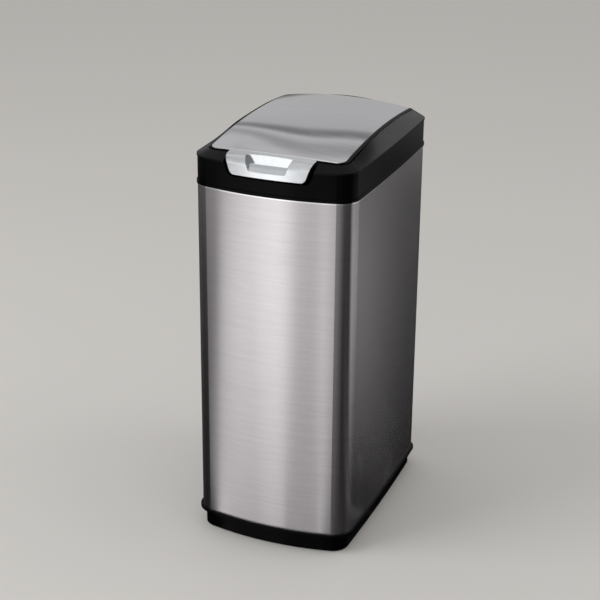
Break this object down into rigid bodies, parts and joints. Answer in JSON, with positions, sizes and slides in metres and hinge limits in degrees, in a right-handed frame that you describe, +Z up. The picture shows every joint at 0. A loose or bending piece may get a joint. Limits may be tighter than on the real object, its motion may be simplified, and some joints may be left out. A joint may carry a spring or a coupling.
{
  "type": "push top bin",
  "caption": "Tall kitchen bin with a bowed steel body, moulded base, lift-out bucket and a lift-off collar whose domed steel lid opens on a push catch.",
  "frame": {"origin": "centre of the footprint, on the floor under the foot pads", "axes": "+Z up; the bowed front with the push catch faces -Y; +X is to the right seen from the front"},
  "size_m": [0.2778, 0.3878, 0.6841],
  "materials": {
    "body_steel": "satin",
    "lid_steel": "satin",
    "base_black": "matt",
    "pad_rubber": "matt",
    "bucket_grey": "matt",
    "collar_gloss": "gloss",
    "bezel_satin": "satin",
    "screw_steel": "satin",
    "frame_black": "matt",
    "liner_black": "matt",
    "pin_steel": "satin",
    "spring_steel": "satin",
    "damper_black": "matt",
    "gear_natural": "satin",
    "catch_chrome": "polished",
    "carrier_black": "matt",
    "bumper_rubber": "matt"
  },
  "bodies": {
    "body": {"body_shell": "body_steel", "base_moulding": "base_black", "foot_pads": "pad_rubber"},
    "bucket": {"inner_bucket": "bucket_grey"},
    "collar": {"collar_band": "collar_gloss", "collar_bezel": "bezel_satin", "bezel_screws": "screw_steel", "latch_keeper": "screw_steel", "keeper_screws": "screw_steel", "lid_bumpers": "bumper_rubber", "damper_body": "damper_black", "damper_screws": "screw_steel", "lid_spring": "spring_steel"},
    "lid": {"lid_skin": "lid_steel", "lid_frame": "frame_black", "lid_liner": "liner_black", "liner_screws": "screw_steel", "hinge_pin_right": "pin_steel", "hinge_pin_left": "pin_steel", "catch_pin": "pin_steel", "catch_spring": "spring_steel"},
    "catch": {"catch_cover": "catch_chrome", "catch_carrier": "carrier_black"},
    "pinion": {"damper_pinion": "gear_natural"}
  },
  "joints": [
    {"name": "bucket_lift", "type": "slide", "parent": "body", "child": "bucket", "axis": [0, 0, 1], "range_m": [0, 0.62]},
    {"name": "collar_lift", "type": "slide", "parent": "bucket", "child": "collar", "axis": [0, 0, 1], "range_m": [0, 0.15]},
    {"name": "lid_hinge", "type": "hinge", "parent": "collar", "child": "lid", "pos_m": [0, 0.136, 0.66], "axis": [-1, 0, 0], "range_deg": [0, 78], "deforming": ["lid_spring"]},
    {"name": "catch_press", "type": "hinge", "parent": "lid", "child": "catch", "pos_m": [0, -0.169, 0.649], "axis": [1, 0, 0], "range_deg": [0, 5], "stiffness_Nm_per_rad": 0.6, "springref_deg": -6.88, "deforming": ["catch_spring"]},
    {"name": "pinion_spin", "type": "hinge", "parent": "collar", "child": "pinion", "pos_m": [-0.1027, 0.12314, 0.64468], "axis": [-1, 0, 0], "range_deg": [-184, 0]}
  ],
  "couplings": [
    {"joint": "pinion_spin", "follows": "lid_hinge", "ratio": -2.3333}
  ]
}
